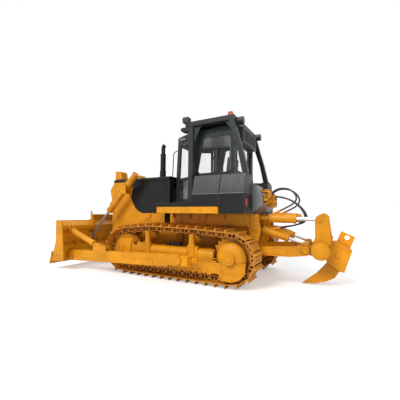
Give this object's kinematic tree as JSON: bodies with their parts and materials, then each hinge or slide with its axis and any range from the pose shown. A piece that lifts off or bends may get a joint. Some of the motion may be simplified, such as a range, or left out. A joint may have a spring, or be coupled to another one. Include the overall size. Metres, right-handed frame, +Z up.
{
  "type": "bulldozer with straight tilting blade and single shank ripper",
  "caption": "Crawler dozer with a straight blade on side push arms, cab under a roll-over frame, and a rear parallelogram ripper with one shank.",
  "frame": {"origin": "on the ground under the middle of the machine's bounding box", "axes": "+X forward to the blade, +Y to the machine's left, +Z up"},
  "size_m": [6.848, 3.725, 3.74],
  "materials": {
    "yellow_paint": "satin",
    "black_paint": "satin",
    "grey_paint": "satin",
    "glass": "clear",
    "black_plastic": "matte",
    "seat_vinyl": "matte",
    "beacon_lens": "gloss",
    "edge_steel": "worn",
    "engine_iron": "matte",
    "rod_chrome": "polished",
    "hose_rubber": "matte"
  },
  "bodies": {
    "machine": {"air_conditioner": "grey_paint", "main_frame": "yellow_paint", "engine_block": "engine_iron", "radiator_guard": "yellow_paint", "front_grille": "black_paint", "hood": "black_paint", "engine_covers": "black_paint", "exhaust_stack": "black_paint", "headlamps": "yellow_paint", "fenders": "yellow_paint", "side_boxes": "black_paint", "fuel_tank": "grey_paint", "cab_shell": "grey_paint", "cab_glass": "glass", "cab_floor": "grey_paint", "operator_seat": "seat_vinyl", "rops_frame": "grey_paint", "work_lamps": "black_plastic", "beacon": "beacon_lens", "track_frames": "yellow_paint", "track_left": "yellow_paint", "track_right": "yellow_paint", "sprockets": "yellow_paint", "final_drives": "yellow_paint", "idlers": "yellow_paint", "track_rollers": "yellow_paint", "carrier_rollers": "yellow_paint", "lift_yokes": "yellow_paint", "ripper_bracket": "yellow_paint", "valve_block": "yellow_paint", "pitch_hose_left": "hose_rubber", "pitch_hose_right": "hose_rubber", "raise_hose_left": "hose_rubber", "raise_hose_right": "hose_rubber"},
    "blade_group": {"push_arms": "yellow_paint", "blade": "yellow_paint", "cutting_edge": "edge_steel", "braces": "yellow_paint"},
    "lift_barrel_left": {"lift_barrel_left": "yellow_paint"},
    "lift_rod_left": {"lift_rod_left": "rod_chrome"},
    "lift_barrel_right": {"lift_barrel_right": "yellow_paint"},
    "lift_rod_right": {"lift_rod_right": "rod_chrome"},
    "ripper_beam": {"ripper_beam": "yellow_paint"},
    "ripper_pins": {"ripper_pins": "yellow_paint"},
    "toolbar": {"toolbar": "yellow_paint", "ripper_posts": "yellow_paint", "shank": "yellow_paint"},
    "door_left": {"door_left": "grey_paint", "door_glass_left": "glass"},
    "door_right": {"door_right": "grey_paint", "door_glass_right": "glass"},
    "pitch_barrel_left": {"pitch_barrel_left": "yellow_paint"},
    "pitch_rod_left": {"pitch_rod_left": "rod_chrome"},
    "pitch_barrel_right": {"pitch_barrel_right": "yellow_paint"},
    "pitch_rod_right": {"pitch_rod_right": "rod_chrome"},
    "raise_barrel_left": {"raise_barrel_left": "yellow_paint"},
    "raise_rod_left": {"raise_rod_left": "rod_chrome"},
    "raise_barrel_right": {"raise_barrel_right": "yellow_paint"},
    "raise_rod_right": {"raise_rod_right": "rod_chrome"}
  },
  "joints": [
    {"name": "blade_lift", "type": "hinge", "parent": "machine", "child": "blade_group", "pos_m": [-0.346, 0, 0.515], "axis": [0, -1, 0], "range_deg": [-10.6, 17]},
    {"name": "lift_swing_left", "type": "hinge", "parent": "machine", "child": "lift_barrel_left", "pos_m": [1.844, 0.84, 2.09], "axis": [0, -1, 0], "range_deg": [-14.78, 23.35]},
    {"name": "lift_stroke_left", "type": "slide", "parent": "lift_barrel_left", "child": "lift_rod_left", "axis": [0.6931, 0, -0.7209], "range_m": [-0.7507, 0.4692]},
    {"name": "lift_swing_right", "type": "hinge", "parent": "machine", "child": "lift_barrel_right", "pos_m": [1.844, -0.84, 2.09], "axis": [0, -1, 0], "range_deg": [-14.78, 23.35]},
    {"name": "lift_stroke_right", "type": "slide", "parent": "lift_barrel_right", "child": "lift_rod_right", "axis": [0.6931, 0, -0.7209], "range_m": [-0.7507, 0.4692]},
    {"name": "ripper_lift", "type": "hinge", "parent": "machine", "child": "ripper_beam", "pos_m": [-1.526, 0, 0.68], "axis": [0, 1, 0], "range_deg": [-32, 27]},
    {"name": "ripper_level", "type": "hinge", "parent": "ripper_beam", "child": "ripper_pins", "pos_m": [-2.567, 0, 0.74], "axis": [0, 1, 0], "range_deg": [-30.43, 35.97]},
    {"name": "ripper_pitch", "type": "hinge", "parent": "ripper_pins", "child": "toolbar", "pos_m": [-2.567, 0, 0.74], "axis": [0, 1, 0], "range_deg": [-15, 12]},
    {"name": "pitch_swing_left", "type": "hinge", "parent": "machine", "child": "pitch_barrel_left", "pos_m": [-1.606, 0.42, 1.365], "axis": [0, 1, 0], "range_deg": [-27.2, 23.04], "deforming": ["pitch_hose_left"]},
    {"name": "pitch_stroke_left", "type": "slide", "parent": "pitch_barrel_left", "child": "pitch_rod_left", "axis": [-1, 0, -0.0083], "range_m": [-0.1303, 0.1622]},
    {"name": "raise_swing_left", "type": "hinge", "parent": "machine", "child": "raise_barrel_left", "pos_m": [-1.606, 0.4, 1.155], "axis": [0, 1, 0], "range_deg": [-29.05, 24.6], "deforming": ["raise_hose_left"]},
    {"name": "raise_stroke_left", "type": "slide", "parent": "raise_barrel_left", "child": "raise_rod_left", "axis": [-0.9558, 0, -0.294], "range_m": [-0.2292, 0.2711]},
    {"name": "pitch_swing_right", "type": "hinge", "parent": "machine", "child": "pitch_barrel_right", "pos_m": [-1.606, -0.42, 1.365], "axis": [0, 1, 0], "range_deg": [-27.2, 23.04], "deforming": ["pitch_hose_right"]},
    {"name": "pitch_stroke_right", "type": "slide", "parent": "pitch_barrel_right", "child": "pitch_rod_right", "axis": [-1, 0, -0.0083], "range_m": [-0.1303, 0.1622]},
    {"name": "raise_swing_right", "type": "hinge", "parent": "machine", "child": "raise_barrel_right", "pos_m": [-1.606, -0.4, 1.155], "axis": [0, 1, 0], "range_deg": [-29.05, 24.6], "deforming": ["raise_hose_right"]},
    {"name": "raise_stroke_right", "type": "slide", "parent": "raise_barrel_right", "child": "raise_rod_right", "axis": [-0.9558, 0, -0.294], "range_m": [-0.2292, 0.2711]},
    {"name": "door_left_swing", "type": "hinge", "parent": "machine", "child": "door_left", "pos_m": [-0.03462, 0.67693, 2.4], "axis": [0, 0, 1], "range_deg": [0, 90]},
    {"name": "door_right_swing", "type": "hinge", "parent": "machine", "child": "door_right", "pos_m": [-0.03462, -0.67693, 2.4], "axis": [0, 0, -1], "range_deg": [0, 90]}
  ],
  "couplings": [
    {"joint": "lift_swing_left", "follows": "blade_lift", "ratio": 1.34},
    {"joint": "lift_stroke_left", "follows": "blade_lift", "m_per_rad": -2.52},
    {"joint": "lift_swing_right", "follows": "blade_lift", "ratio": 1.34},
    {"joint": "lift_stroke_right", "follows": "blade_lift", "m_per_rad": -2.52},
    {"joint": "ripper_level", "follows": "ripper_lift", "ratio": -1.106},
    {"joint": "pitch_swing_left", "follows": "ripper_lift", "ratio": 0.832},
    {"joint": "pitch_stroke_left", "follows": "ripper_pitch", "m_per_rad": -0.608},
    {"joint": "raise_swing_left", "follows": "ripper_lift", "ratio": 0.89},
    {"joint": "raise_stroke_left", "follows": "ripper_lift", "m_per_rad": -0.48},
    {"joint": "pitch_swing_right", "follows": "ripper_lift", "ratio": 0.832},
    {"joint": "pitch_stroke_right", "follows": "ripper_pitch", "m_per_rad": -0.608},
    {"joint": "raise_swing_right", "follows": "ripper_lift", "ratio": 0.89},
    {"joint": "raise_stroke_right", "follows": "ripper_lift", "m_per_rad": -0.48}
  ]
}
